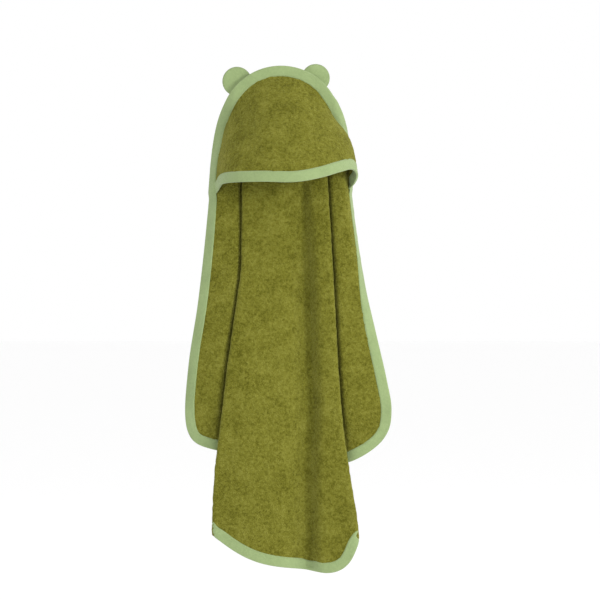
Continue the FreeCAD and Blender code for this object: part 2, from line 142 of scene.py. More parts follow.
def crown_height(x):
    """Height of the bound edge over the hooded corner, above x, on the side that x is on."""
    away = np.abs(x)
    rise = np.sqrt(np.maximum(CROWN_RADIUS**2 - np.minimum(away, CROWN_HALF) ** 2, 0))
    arc = CROWN_TOP - CROWN_RADIUS + rise
    side = np.where(x < 0, curve(CROWN_SIDE[-1], away), curve(CROWN_SIDE[1], away))
    return np.where(away < CROWN_HALF, arc, side)


def wing_edge(side, height):
    """How far out the wing's edge is; above the shoulder it keeps the shoulder's width."""
    return np.where(height > SHOULDER_HIGH, SHOULDER[side], curve(WING_EDGE[side], height))


# How steeply each side's edge turns back, by height, and over what width

TURNED_BACK = {
    -1: ([(-0.03, 0.0), (-0.10, 1.3), (-0.19, 1.5), (-0.26, 0.9), (-0.42, 0.55), (-0.6, 0.6),
          (-0.69, 0.2), (-0.75, 0.0)], 0.024),
    1: ([(-0.03, 0.0), (-0.09, 1.6), (-0.125, 3.6), (-0.2, 4.6), (-0.31, 4.6), (-0.40, 2.2),
         (-0.51, 0.4), (-0.7, 0.0)], 0.014),
}

# A level cut through the cloth. Directions are turned from straight out: 90 degrees is straight back.
# The columns of each side are its wing, back fold, hidden layer and front fold; the front has its own.

COLUMNS = {"wing": 19, "back_fold": 6, "hidden": 6, "front_fold": 6, "front": 28}
FRONT_FOLD_LENGTH = 0.018
BACK_FOLD_LENGTH = 0.020
CLOSED_TURN = math.radians(174)
HIDDEN_SHARE = [(0.02, 0.08), (-0.1, 0.12), (-0.15, 0.3), (-0.22, 0.66), (-0.45, 0.87), (-0.95, 0.88)]
WING_FORWARD = [(-0.1, 0.0), (-0.15, 0.003), (-0.2, 0.015), (-0.3, 0.021), (-0.5, 0.021), (-0.62, 0.018),
                (-0.7, 0.006)]
VALLEY_DEEP = 0.020
VALLEY_DEEP_HIGH = 0.007
VALLEY_LEFT = 0.027
VALLEY_RIGHT = 0.013
SWELLING_AT = -0.06
SWELLING_WIDE = 0.05
SWELLING_HIGH = 0.008
WING_ROLL = 0.012
WING_ROLL_LEAST = 0.006
WING_SET_BACK = 0.010
EDGE_CROWDING = 1.7


def closing(height):
    """How far the pleats have closed, in radians of turn at each fold."""
    return CLOSED_TURN * smooth(-0.035, -0.18, height)


def hidden_length(side, height):
    """Length of the layer behind the front, which almost reaches the middle of the towel lower down."""
    return curve(HIDDEN_SHARE, height) * curve(FRONT_FOLD[side], height)


def groove_depth(x, height):
    """How far the cloth is set back at x: a valley right of the middle, less a low swelling on the left."""
    middle = curve(GROOVE, height)
    deep = VALLEY_DEEP * smooth(-0.12, -0.42, height) + VALLEY_DEEP_HIGH * smooth(-0.06, -0.15, height)
    away = x - middle
    width = np.where(away < 0, VALLEY_LEFT, VALLEY_RIGHT)
    valley = deep * np.exp(-((away / width) ** 2))
    swelling = smooth(-0.2, -0.7, height) * np.exp(-(((x - SWELLING_AT) / SWELLING_WIDE) ** 2))
    return valley - SWELLING_HIGH * swelling


def walk(directions, lengths):
    """Points of a path that starts at the origin, from its steps' directions and lengths."""
    steps = np.stack([np.cos(directions) * lengths, np.sin(directions) * lengths])
    return np.concatenate([np.zeros((2, 1)), np.cumsum(steps, axis=1)], axis=1)


def outline_out(side, height):
    """How far out the cloth's edge is at a height, on the crown's side or on the wing."""
    out = np.linspace(0, SHOULDER[side], 600)
    crown = np.interp(-np.asarray(height, float), -crown_height(side * out), out)
    return np.where(height > SHOULDER_HIGH, crown, wing_edge(side, height))


def wing_cut(side, height, start, fold):
    """The wing's columns: out behind the front, forward beside the front's fold, and on to the edge."""
    edge = wing_edge(side, height)
    gap = max(fold - 0.001, start[0] + 0.002)
    roll = min(max(fold + WING_ROLL, gap + WING_ROLL_LEAST), (gap + edge) / 2)
    behind = np.linspace(start[0], gap, 5)
    rise = np.linspace(gap, roll, 6)[1:]
    rest = roll + (edge - roll) * (1 - (1 - np.linspace(0, 1, 11)[1:]) ** EDGE_CROWDING)
    x = np.concatenate([behind, rise, rest])
    y = start[1] - curve(WING_FORWARD, height) * np.sqrt(smooth(gap - 0.002, roll, x))
    y = y + WING_SET_BACK * smooth(-0.1, -0.25, height) * smooth(roll, roll + 0.075, x)
    turn, width = TURNED_BACK[side]
    inside = np.clip(x - (outline_out(side, height) - width), 0, 1.3 * width)
    y = y + curve(turn, height) * inside**2 / (2 * width)
    return np.stack([x, y])


def side_cut(side, height):
    """(out, back) of one side's columns, from the front to the wing's edge, and where the front ends."""
    turn = closing(height)
    fine = 4
    steps_a = fine * COLUMNS["front_fold"]
    steps_b = fine * COLUMNS["back_fold"]
    share_a = (np.arange(steps_a) + 0.5) / steps_a
    share_b = (np.arange(steps_b) + 0.5) / steps_b
    front = walk(turn * smooth(0, 1, share_a), np.full(steps_a, FRONT_FOLD_LENGTH / steps_a))
    steps = np.full(COLUMNS["hidden"], hidden_length(side, height) / COLUMNS["hidden"])
    hidden = walk(np.full(COLUMNS["hidden"], turn), steps)
    back = walk(turn * (1 - smooth(0, 1, share_b)), np.full(steps_b, BACK_FOLD_LENGTH / steps_b))
    shift = curve(FRONT_FOLD[side], height) - front[0].max()
    front = front[:, ::fine] + np.array([[shift], [0]])
    hidden = hidden + front[:, -1:]
    back = back[:, ::fine] + hidden[:, -1:]
    wing = wing_cut(side, height, back[:, -1], front[0].max())
    return np.concatenate([front[:, :-1], hidden[:, :-1], back[:, :-1], wing], axis=1), shift


def level_cut(height):
    """(x, y) of every column at one height, from the left wing's edge to the right wing's."""
    left, left_start = side_cut(-1, height)
    right, right_start = side_cut(1, height)
    x = np.linspace(-left_start, right_start, COLUMNS["front"] + 1)
    y = groove_depth(x, height)
    left_part = np.stack([-left[0, ::-1], left[1, ::-1] + groove_depth(-left[0, ::-1], height)])
    right_part = np.stack([right[0], right[1] + groove_depth(right[0], height)])
    return np.concatenate([left_part, np.stack([x, y])[:, 1:-1], right_part], axis=1)


LEVELS = np.linspace(0.02, -0.97, 331)
CUTS = np.stack([level_cut(height) for height in LEVELS])
COLUMN_COUNT = CUTS.shape[2]


def column_at(column, height):
    """(x, y) of a column at a height, or at several."""
    place = np.interp(-np.asarray(height, float), -LEVELS, np.arange(len(LEVELS)))
    low = np.clip(place.astype(int), 0, len(LEVELS) - 2)
    share = (place - low)[..., None]
    return CUTS[low, :, column] * (1 - share) + CUTS[low + 1, :, column] * share


def crossing(column, outline, start):
    """The height where a column meets an outline given as height over x."""
    height = start
    for _ in range(60):
        x = column_at(column, height)[0]
        height = 0.5 * height + 0.5 * float(outline(x))
    return height


def lower_end(column):
    """Height where a column ends: on the wing's hem, on the hem behind the front, or on the front's hem."""
    wing, back, hidden = COLUMNS["wing"], COLUMNS["back_fold"], COLUMNS["hidden"]
    side = -1 if column < COLUMN_COUNT // 2 else 1
    from_edge = column if side < 0 else COLUMN_COUNT - 1 - column

    def wing_hem(x):
        return curve(WING_HEM[side], abs(x))

    if from_edge <= wing:
        return crossing(column, wing_hem, -0.7)
    inner = crossing(wing if side < 0 else COLUMN_COUNT - 1 - wing, wing_hem, -0.7)
    if from_edge < wing + back + hidden + COLUMNS["front_fold"]:
        share = smooth(wing + 0.5 * back, wing + back + hidden + 0.5 * COLUMNS["front_fold"], from_edge)
        return float(inner + (FOLD_END[side] - inner) * share)
    return crossing(column, lambda x: curve(HEM, x), -0.9)


ROWS = 119


def towel_points():
    """The towel's middle surface, column by column from the left wing's edge, with its rim smoothed."""
    grid = np.zeros((COLUMN_COUNT, ROWS + 1, 3))
    for column in range(COLUMN_COUNT):
        top = crossing(column, crown_height, -0.02)
        low = lower_end(column)
        heights = top + (low - top) * np.linspace(0, 1, ROWS + 1)
        grid[column, :, :2] = column_at(column, heights)
        grid[column, :, 2] = heights
    rim = rim_of(COLUMN_COUNT, ROWS + 1)
    grid.reshape(-1, 3)[rim] = smoothed(grid.reshape(-1, 3)[rim], True, 3)
    return grid


def towel_normals(grid):
    """Normals towards the front. They come from level cuts, as rows and columns run together at the crown."""
    normals = np.zeros_like(grid)
    step = 0.003
    for column in range(COLUMN_COUNT):
        heights = grid[column, :, 2]
        right = column_at(min(column + 1, COLUMN_COUNT - 1), heights)
        left = column_at(max(column - 1, 0), heights)
        fall = column_at(column, heights - step) - column_at(column, heights + step)
        across = np.column_stack([right - left, np.zeros(ROWS + 1)])
        down = np.column_stack([fall, np.full(ROWS + 1, -2 * step)])
        normals[column] = unit(np.cross(down, across))
    return normals


# Surfaces made of grids, and meshes made from them


def unit(vectors):
    return vectors / np.maximum(np.linalg.norm(vectors, axis=-1, keepdims=True), 1e-12)


def grid_faces(columns, rows, start=0):
    at = start + np.arange(columns * rows).reshape(columns, rows)
    corners = [at[:-1, :-1], at[:-1, 1:], at[1:, 1:], at[1:, :-1]]
    return np.stack([corner.ravel() for corner in corners], axis=1).tolist()


def front_normals(grid):
    """Normals towards the front of a grid whose columns go from left to right and rows go down."""
    return unit(np.cross(np.gradient(grid, axis=1), np.gradient(grid, axis=0)))


def rim_of(columns, rows):
    """The grid's border: up the left side, along the top, down the right side, and back along the bottom."""
    at = np.arange(columns * rows).reshape(columns, rows)
    return np.concatenate([at[0, :0:-1], at[:-1, 0], at[-1, :-1], at[:0:-1, -1]])


def shell_faces(columns, rows):
    """Faces of two equal grids, front and then back, closed round the rim."""
    back = columns * rows
    faces = grid_faces(columns, rows) + [face[::-1] for face in grid_faces(columns, rows, back)]
    rim = rim_of(columns, rows).tolist()
    return faces + [[b, a, a + back, b + back] for a, b in zip(rim, rim[1:] + rim[:1])]


def tube_faces(count, around, closed=False):
    """Faces of a tube made of rings, which has flat ends unless it is closed."""
    at = np.arange(count * around).reshape(count, around)
    start, after = (at, np.roll(at, -1, 0)) if closed else (at[:-1], at[1:])
    corners = [start, after, np.roll(after, -1, 1), np.roll(start, -1, 1)]
    faces = np.stack([corner.ravel() for corner in corners], axis=1).tolist()
    if not closed:
        faces += [at[0].tolist()[::-1], at[-1].tolist()]
    return faces


def mesh_object(name, points, faces, uvs=None):
    """A mesh drawn with the front of the cloth at y = 0, moved to hang from the origin."""
    points = np.asarray(points, float).reshape(-1, 3) - np.array([0, HANG, 0])
    mesh = bpy.data.meshes.new(name)
    mesh.from_pydata(points.tolist(), [], faces)
    mesh.polygons.foreach_set("use_smooth", [True] * len(mesh.polygons))
    if uvs is not None:
        corners = np.zeros(len(mesh.loops), int)
        mesh.loops.foreach_get("vertex_index", corners)
        layer = mesh.uv_layers.new(name="weave")
        layer.data.foreach_set("uv", np.asarray(uvs, float).reshape(-1, 2)[corners].ravel())
    mesh.update()
    piece = bpy.data.objects.new(name, mesh)
    bpy.context.scene.collection.objects.link(piece)
    return piece


def thick_sheet(name, grid, normals, half):
    """Closed cloth about a grid, half thick to each side of it."""
    half = np.broadcast_to(half, grid.shape[:2])[..., None]
    points = np.concatenate([(grid + normals * half).reshape(-1, 3), (grid - normals * half).reshape(-1, 3)])
    return mesh_object(name, points, shell_faces(*grid.shape[:2]))


class Surface:
    """A grid that can be searched for its nearest point and the smooth normal there."""

    def __init__(self, grid, normals):
        self.points = grid.reshape(-1, 3)
        self.normals = normals.reshape(-1, 3)
        self.faces = grid_faces(*grid.shape[:2])
        self.tree = BVHTree.FromPolygons(self.points.tolist(), self.faces)

    def near(self, point):
        spot, _, face, _ = self.tree.find_nearest(Vector(point))
        corners = self.faces[face]
        spot = np.array(spot)
        weights = 1 / (np.linalg.norm(self.points[corners] - spot, axis=1) + 1e-4)
        return spot, unit(weights @ self.normals[corners])


def smoothed(values, closed, rounds=3):
    """Values along a line, or round a closed one, each mixed with its neighbours."""
    for _ in range(rounds):
        if closed:
            values = (np.roll(values, 1, 0) + 2 * values + np.roll(values, -1, 0)) / 4
        else:
            inner = (values[:-2] + 2 * values[1:-1] + values[2:]) / 4
            values = np.concatenate([values[:1], inner, values[-1:]])
    return values


def march(surface, edge, widths, closed=False):
    """Points and normals of the surface at these distances inward from each point of its edge."""
    ahead = np.roll(edge, -1, 0) - np.roll(edge, 1, 0) if closed else np.gradient(edge, axis=0)
    spots = np.zeros((len(edge), len(widths), 3))
    normals = np.zeros_like(spots)
    for i, start in enumerate(edge):
        spot, normal = surface.near(start)
        inward = unit(np.cross(ahead[i], normal))
        before = 0
        for k, width in enumerate(widths):
            spot, normal = surface.near(spot + inward * (width - before))
            inward = unit(inward - normal * (inward @ normal))
            spots[i, k], normals[i, k] = spot, normal
            before = width
    return smoothed(spots, closed), unit(smoothed(normals, closed))


def lengths_along(line):
    return np.concatenate([[0], np.cumsum(np.linalg.norm(np.diff(line, axis=0), axis=1))])


def resample(line, count):
    """count points at equal distances along a line of points."""
    at = lengths_along(line)
    wanted = np.linspace(0, at[-1], count)
    return np.stack([np.interp(wanted, at, line[:, axis]) for axis in range(3)], axis=1)


def through(points, count):
    """A smooth line through a few points, as count points at equal distances."""
    points = np.array(points, float)
    at = lengths_along(points)
    tangents = np.gradient(points, at, axis=0)
    fine = np.linspace(0, at[-1], 8 * count)
    i = np.clip(np.searchsorted(at, fine) - 1, 0, len(points) - 2)
    step = (at[i + 1] - at[i])[:, None]
    t = (fine - at[i])[:, None] / step
    line = hermite(t, points[i], points[i + 1], step * tangents[i], step * tangents[i + 1])
    return resample(line, count)


# Materials


def add(tree, kind, inputs=(), **settings):
    node = tree.nodes.new("ShaderNode" + kind)
    for name, value in settings.items():
        setattr(node, name, value)
    for name, value in dict(inputs).items():
        if isinstance(value, bpy.types.NodeSocket):
            tree.links.new(value, node.inputs[name])
        else:
            node.inputs[name].default_value = value
    return node


def new_material(name, roughness, sheen=0.0, specular=0.2):
    material = bpy.data.materials.new(name)
    material.use_nodes = True
    tree = material.node_tree
    shader = tree.nodes["Principled BSDF"]
    shader.inputs["Roughness"].default_value = roughness
    shader.inputs["Sheen Weight"].default_value = sheen
    shader.inputs["Sheen Roughness"].default_value = 0.5
    shader.inputs["Specular IOR Level"].default_value = specular
    return material, tree, shader


def ramp(tree, factor, stops):
    """Colours by factor: stops is a list of (place, linear colour)."""
    node = add(tree, "ValToRGB", {"Fac": factor})
    elements = node.color_ramp.elements
    while len(elements) < len(stops):
        elements.new(0.5)
    for element, (place, color) in zip(elements, stops):
        element.position = place
        element.color = (*color, 1)
    return node.outputs["Color"]


def mixed(tree, first, second, operation="ADD"):
    return add(tree, "Math", operation=operation, inputs={0: first, 1: second}).outputs[0]


def noise(tree, coords, scale, detail=2.0, rough=0.5):
    inputs = {"Vector": coords, "Scale": scale, "Detail": detail, "Roughness": rough}
    return add(tree, "TexNoise", inputs).outputs["Fac"]


def terry_material():
    """Loops about 2 mm across in tufts and patches, with painted shade between the loops."""
    material, tree, shader = new_material("terry", 0.95, sheen=0.22, specular=0.05)
    shader.inputs["Sheen Tint"].default_value = (0.75, 0.75, 0.25, 1)
    place = add(tree, "TexCoord").outputs["Object"]
    cells = add(tree, "TexVoronoi", {"Vector": place, "Scale": 430.0, "Randomness": 1.0})
    loops = cells.outputs["Distance"]
    fleck = add(tree, "SeparateXYZ", {0: cells.outputs["Color"]}).outputs[0]
    tufts = noise(tree, place, 170.0, 4.0, 0.65)
    patches = noise(tree, place, 30.0, 3.0, 0.6)
    shade = mixed(tree, mixed(tree, tufts, 0.62, "MULTIPLY"), mixed(tree, patches, 0.38, "MULTIPLY"))
    # Painted shade: the colour darkens towards the edge of each loop's cell, where the loops shade each
    # other.
    shade = mixed(tree, shade, mixed(tree, loops, -0.16, "MULTIPLY"))
    shade = mixed(tree, shade, mixed(tree, fleck, 0.13, "MULTIPLY"))
    stops = [(0.32, (0.088, 0.086, 0.007)), (0.49, (0.156, 0.153, 0.019)), (0.68, (0.222, 0.218, 0.038))]
    tree.links.new(ramp(tree, shade, stops), shader.inputs["Base Color"])
    height = mixed(tree, mixed(tree, loops, -0.7, "MULTIPLY"), mixed(tree, tufts, 1.1, "MULTIPLY"))
    bump = add(tree, "Bump", {"Strength": 1.0, "Distance": 0.0022, "Height": height})
    tree.links.new(bump.outputs["Normal"], shader.inputs["Normal"])
    return material


def woven_material(name, stops, thread=0.0006, sheen=0.2):
    """A plain weave that lies diagonally, as on tape cut on the bias, over the mesh's weave coordinates."""
    material, tree, shader = new_material(name, 0.85, sheen=sheen, specular=0.15)
    place = add(tree, "TexCoord").outputs["Object"]
    flat = add(tree, "UVMap", uv_map="weave").outputs["UV"]
    split = add(tree, "SeparateXYZ", {0: flat}).outputs
    turn = 2 * math.pi / thread / math.sqrt(2)
    waves = []
    for operation in ("ADD", "SUBTRACT"):
        across = mixed(tree, mixed(tree, split[0], split[1], operation), turn, "MULTIPLY")
        waves.append(mixed(tree, across, 0.0, "SINE"))
    weave = mixed(tree, waves[0], waves[1], "MULTIPLY")
    slubs = noise(tree, place, 260.0, 3.0, 0.6)
    patches = noise(tree, place, 24.0, 2.0)
    shade = mixed(tree, mixed(tree, slubs, 0.5, "MULTIPLY"), mixed(tree, patches, 0.5, "MULTIPLY"))
    shade = mixed(tree, shade, mixed(tree, weave, 0.03, "MULTIPLY"))
    tree.links.new(ramp(tree, shade, stops), shader.inputs["Base Color"])
    height = mixed(tree, mixed(tree, weave, 0.35, "MULTIPLY"), mixed(tree, slubs, 0.8, "MULTIPLY"))
    bump = add(tree, "Bump", {"Strength": 0.6, "Distance": 0.0006, "Height": height})
    tree.links.new(bump.outputs["Normal"], shader.inputs["Normal"])
    return material


def thread_material():
    material, tree, shader = new_material("thread", 0.55, sheen=0.1, specular=0.4)
    place = add(tree, "TexCoord").outputs["Object"]
    twist = noise(tree, place, 900.0, 2.0)
    stops = [(0.3, (0.24, 0.33, 0.13)), (0.7, (0.36, 0.47, 0.21))]
    tree.links.new(ramp(tree, twist, stops), shader.inputs["Base Color"])
    bump = add(tree, "Bump", {"Strength": 0.5, "Distance": 0.0003, "Height": twist})
    tree.links.new(bump.outputs["Normal"], shader.inputs["Normal"])
    return material


def satin_material():
    material, tree, shader = new_material("label_satin", 0.35, sheen=0.1, specular=0.5)
    place = add(tree, "TexCoord").outputs["Object"]
    stretched = add(tree, "Mapping", {"Vector": place, "Scale": (1.0, 1.0, 0.06)}).outputs[0]
    threads = noise(tree, stretched, 2400.0, 2.0)
    stops = [(0.3, (0.74, 0.74, 0.69)), (0.7, (0.86, 0.86, 0.82))]
    tree.links.new(ramp(tree, threads, stops), shader.inputs["Base Color"])
    bump = add(tree, "Bump", {"Strength": 0.3, "Distance": 0.0002, "Height": threads})
    tree.links.new(bump.outputs["Normal"], shader.inputs["Normal"])
    return material


SAGE = [(0.30, (0.247, 0.325, 0.140)), (0.5, (0.284, 0.373, 0.163)), (0.7, (0.316, 0.41, 0.184))]
TERRY_LOOK = terry_material()
TAPE_LOOK = woven_material("bias_tape", SAGE)
EAR_LOOK = woven_material("ear_cotton", SAGE)
THREAD_LOOK = thread_material()
SATIN_LOOK = satin_material()
WADDING_LOOK = woven_material("wadding", [(0.3, (0.78, 0.77, 0.72)), (0.7, (0.88, 0.87, 0.83))], 0.002)


def dress(piece, material, slot_name, body, *nodes):
    """Gives a piece its material and hides the CAD nodes that it stands for. A piece whose body is named is
    attached to that body; any other keeps its place, baked into its mesh.
    """
    piece.data.materials.clear()
    piece.data.materials.append(material)
    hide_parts(*nodes)
    if isinstance(body, str):
        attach(piece, body)
    else:
        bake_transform(piece)


def finish_mesh(piece, displace):
    """Adds one level of subdivision and fine procedural relief, each (height, grain), and applies them."""
    smooth_part = piece.modifiers.new("smooth", "SUBSURF")
    smooth_part.levels = smooth_part.render_levels = 1
    for number, (height, grain) in enumerate(displace):
        texture = bpy.data.textures.new(f"{piece.name}_relief_{number}", "CLOUDS")
        texture.noise_scale = grain
        texture.noise_depth = 2
        relief = piece.modifiers.new(f"relief_{number}", "DISPLACE")
        relief.texture, relief.texture_coords = texture, "GLOBAL"
        relief.strength, relief.mid_level = height, 0.5
    graph = bpy.context.evaluated_depsgraph_get()
    mesh = bpy.data.meshes.new_from_object(piece.evaluated_get(graph))
    mesh.name = piece.name
    piece.modifiers.clear()
    old, piece.data = piece.data, mesh
    bpy.data.meshes.remove(old)
    mesh.polygons.foreach_set("use_smooth", [True] * len(mesh.polygons))
    mesh.update()


# The towel

TAPE_STEPS = np.linspace(0, TAPE_WIDE, 9)
PRESSED = 0.0013
PRESSED_WITHIN = 0.014
FULL_BEYOND = 0.024
HUG = 0.0029
TERRY_RELIEF = [(0.0018, 0.010), (0.0012, 0.0045)]

towel_grid = towel_points()
towel_fronts = towel_normals(towel_grid)
TOWEL = Surface(towel_grid, towel_fronts)
RIM = towel_grid.reshape(-1, 3)[rim_of(*towel_grid.shape[:2])]
LOOP_COUNT = 620
EDGE = resample(np.concatenate([RIM, RIM[:1]]), LOOP_COUNT + 1)[:-1]
EDGE = smoothed(EDGE, True, 2)
EDGE_SPOTS, EDGE_NORMALS = march(TOWEL, EDGE, TAPE_STEPS, closed=True)


def away_from(points, edge):
    """The distance from each point to the nearest point of an edge."""
    tree = KDTree(len(edge))
    for number, spot in enumerate(edge):
        tree.insert(Vector(spot), number)
    tree.balance()
    flat = points.reshape(-1, 3)
    return np.array([tree.find(Vector(spot))[2] for spot in flat]).reshape(points.shape[:-1])


def half_thickness(points, edge):
    """Half the terry's thickness at each point: pressed flat under the tape, full further in."""
    return PRESSED + (TERRY / 2 - PRESSED) * smooth(PRESSED_WITHIN, FULL_BEYOND, away_from(points, edge))


def make_towel():
    half = half_thickness(towel_grid, EDGE)
    piece = thick_sheet("towel_panel_cloth", towel_grid, towel_fronts, half)
    finish_mesh(piece, TERRY_RELIEF)
    dress(piece, TERRY_LOOK, "terry", "towel", "towel_panel")


# The hood

HOOD_ENDS = {-1: -0.229, 1: -0.219}
HOOD_ACROSS = 110
HOOD_DOWN = 26
HUG_STEPS = np.array([0.004, 0.009, 0.014, 0.019])

# Which way the hood leaves the towel, at the tip and at either side, and how strongly it leaves and arrives

LEAN_TOP = 0.75
LEAN_ASIDE = {-1: 0.12, 1: -0.75}
LEAVE = 0.95
ARRIVE = 0.55
FREE_EDGE = [
    (-0.1155, 0.002, -0.2215), (-0.1135, -0.018, -0.217), (-0.105, -0.050, -0.2135),
    (-0.078, -0.080, -0.2125), (-0.030, -0.096, -0.2125), (0.030, -0.098, -0.213),
    (0.078, -0.084, -0.2035), (0.112, -0.058, -0.192), (0.134, -0.030, -0.1865),
    (0.1425, -0.006, -0.196), (0.1385, 0.012, -0.210),
]


def hood_range():
    """First and last edge point that the hood is sewn to."""
    x, z = EDGE[:, 0], EDGE[:, 2]
    top = int(np.argmax(z))
    left = top
    while z[left] > HOOD_ENDS[-1]:
        left -= 1
    right = top
    while z[right] > HOOD_ENDS[1]:
        right += 1
    return left, right


HOOD_FIRST, HOOD_LAST = hood_range()


def hood_grid():
    """The hood's middle surface. It follows the towel from the seam, then swings out to its free edge."""
    rim = resample(EDGE[HOOD_FIRST:HOOD_LAST + 1], HOOD_ACROSS + 1)
    spots, normals = march(TOWEL, rim, HUG_STEPS)
    ends = [spots[side, -1] + normals[side, -1] * HUG for side in (0, -1)]
    edge = through([ends[0], *FREE_EDGE, ends[1]], HOOD_ACROSS + 1)
    reach = np.linalg.norm(edge - rim, axis=1)
    hug_share = np.clip((reach - 0.002) / 0.019, 0.12, 1)
    grid = np.zeros((HOOD_ACROSS + 1, HOOD_DOWN + 1, 3))
    first = len(HUG_STEPS)
    for i in range(HOOD_ACROSS + 1):
        near, normal = spots[i], normals[i]
        for k in range(first):
            share = hug_share[i] * (k + 1) / first * (first - 1)
            low = min(int(share), first - 2)
            grid[i, k] = near[low] + (near[low + 1] - near[low]) * (share - low) + normal[low] * HUG
        start = grid[i, first - 1]
        inward = unit(near[-1] - near[-2])
        gap = np.linalg.norm(edge[i] - start)
        aside = float(smooth(-0.03, -0.11, rim[i, 2]))
        lean = LEAN_TOP + (LEAN_ASIDE[1 if rim[i, 0] > 0 else -1] - LEAN_TOP) * aside
        forward = unit(normal[-1] * (1 - aside) + np.array([0, -1.0, 0]) * aside)
        leave = unit(inward * lean + forward * (0.65 + 0.3 * aside)) * gap * LEAVE
        arrive = np.array([0, -0.05, -1.0]) * gap * ARRIVE
        t = np.linspace(0, 1, HOOD_DOWN + 2 - first)[1:, None]
        grid[i, first:] = hermite(t, start, edge[i], leave, arrive)
    for k in range(first, HOOD_DOWN):
        grid[:, k] = smoothed(grid[:, k], False, 6)
    return grid


hood_cloth = hood_grid()
HOOD = Surface(hood_cloth, front_normals(hood_cloth))
HOOD_BEND = ("towel", "hood", (0, -HANG - 0.006, -0.15), (0, -HANG - 0.085, -0.15))


def make_hood():
    half = half_thickness(hood_cloth, np.concatenate([EDGE, hood_cloth[:, -1]]))
    piece = thick_sheet("hood_panel_cloth", hood_cloth, front_normals(hood_cloth), half)
    finish_mesh(piece, TERRY_RELIEF)
    dress(piece, TERRY_LOOK, "terry", HOOD_BEND, "hood_panel")


# The folded tape and its stitches

PUCKER = 0.00018
RAW_EDGE = 0.55
FOLD_OUT = 0.0013
TAPE_GRIP = 0.0003


def tape_mesh(name, spots, normals, front, back, closed, seed):
    """Tape folded over an edge. front and back are how far the cloth's faces are from the middle surface."""
    steps = spots.shape[1]
    count = len(spots)
    rng = np.random.default_rng(seed)
    pucker = smoothed(rng.normal(size=(count, steps)), closed, 2)
    pucker = pucker / pucker.std() * PUCKER
    front = np.broadcast_to(front, (count,))[:, None, None]
    back = np.broadcast_to(back, (count,))[:, None, None]
    lift = pucker[..., None] + TAPE * np.r_[np.ones(steps - 1), RAW_EDGE][None, :, None]
    outward = unit(spots[:, 0] - spots[:, 1])
    outer_front = spots + normals * (front + lift)
    outer_back = spots - normals * (back + lift)
    middle = spots[:, :1] + normals[:, :1] * (front - back) / 2
    high = (front + back) / 2 + TAPE
    turns = np.radians([22, 55, 90, 125, 158])[None, :, None]
    cap = middle + normals[:, :1] * high * np.cos(turns) + outward[:, None] * FOLD_OUT * np.sin(turns)
    inner_back = (spots - normals * (back - TAPE_GRIP))[:, ::-1]
    inner_front = spots + normals * (front - TAPE_GRIP)
    ring = np.concatenate([outer_front[:, ::-1], cap, outer_back, inner_back, inner_front], axis=1)
    along = lengths_along(spots[:, 0])
    across = np.cumsum(np.r_[0, np.linalg.norm(np.diff(ring[count // 2], axis=0), axis=1)])
    uvs = np.stack(np.broadcast_arrays(along[:, None], across[None, :]), axis=-1)
    faces = tube_faces(count, ring.shape[1], closed)
    return mesh_object(name, ring, faces, uvs), outer_front, outer_back


STITCH_INSET = 0.0165
STITCH_LONG = 0.0027
STITCH_STEP = 0.0036
STITCH_HALF = 0.0004
STITCH_SIDES = 6


def stitch_line(surface, normals, closed):
    """Points, directions and normals of the stitches on one face of a tape."""
    place = STITCH_INSET / TAPE_WIDE * (len(TAPE_STEPS) - 1)
    low, share = int(place), place - int(place)
    line = surface[:, low] * (1 - share) + surface[:, low + 1] * share
    normal = normals[:, low]
    if closed:
        line, normal = np.concatenate([line, line[:1]]), np.concatenate([normal, normal[:1]])
    return grains(line, normal)


def grains(line, normal):
    """Evenly spaced places along a line of stitches, with their directions and normals."""
    at = lengths_along(line)
    wanted = np.arange(STITCH_STEP / 2, at[-1], STITCH_STEP)

    def pick(values):
        return np.stack([np.interp(wanted, at, values[:, axis]) for axis in range(3)], axis=1)

    return pick(line), unit(pick(np.gradient(line, axis=0))), unit(pick(normal))


def stitch_mesh(name, lines):
    """Each stitch is a small grain of thread, pointed at both ends."""
    points, faces = [], []
    for spots, ahead, normal in lines:
        side = np.cross(ahead, normal)
        grain = [spots - ahead * STITCH_LONG / 2, spots + ahead * STITCH_LONG / 2]
        for turn in range(STITCH_SIDES):
            angle = turn * math.tau / STITCH_SIDES
            ring = side * math.cos(angle) + normal * math.sin(angle)
            grain.append(spots + ring * STITCH_HALF)
        grain = np.stack(grain, axis=1)
        start = sum(len(block) for block in points)
        points.append(grain)
        for number in range(len(spots)):
            base = (start + number) * (STITCH_SIDES + 2)
            for turn in range(STITCH_SIDES):
                a, b = base + 2 + turn, base + 2 + (turn + 1) % STITCH_SIDES
                faces += [[base, b, a], [base + 1, a, b]]
    return mesh_object(name, np.concatenate(points), faces)


def make_edge_binding():
    places = np.arange(LOOP_COUNT)
    before = smooth(HOOD_FIRST - 3, HOOD_FIRST + 1, places)
    covered = before * (1 - smooth(HOOD_LAST - 1, HOOD_LAST + 3, places))
    front = PRESSED + covered * (HUG + 0.0002)
    piece, face, rear = tape_mesh("edge_binding_tape", EDGE_SPOTS, EDGE_NORMALS, front, PRESSED, True, 3)
    dress(piece, TAPE_LOOK, "bias_tape", "towel", "edge_binding")
    lines = [stitch_line(face, EDGE_NORMALS, True), stitch_line(rear, -EDGE_NORMALS, True)]
    stitches = stitch_mesh("edge_binding_stitches", lines)
    dress(stitches, THREAD_LOOK, "thread", "towel", "edge_binding_stitching")


def make_hood_binding():
    edge = resample(hood_cloth[::-1, -1], 96)
    spots, normals = march(HOOD, edge, TAPE_STEPS)
    piece, face, rear = tape_mesh("hood_binding_tape", spots, normals, PRESSED, PRESSED, False, 5)
    dress(piece, TAPE_LOOK, "bias_tape", HOOD_BEND, "hood_binding")
    lines = [stitch_line(face, normals, False), stitch_line(rear, -normals, False)]
    stitches = stitch_mesh("hood_binding_stitches", lines)
    dress(stitches, THREAD_LOOK, "thread", HOOD_BEND, "hood_binding_stitching")


# The ears

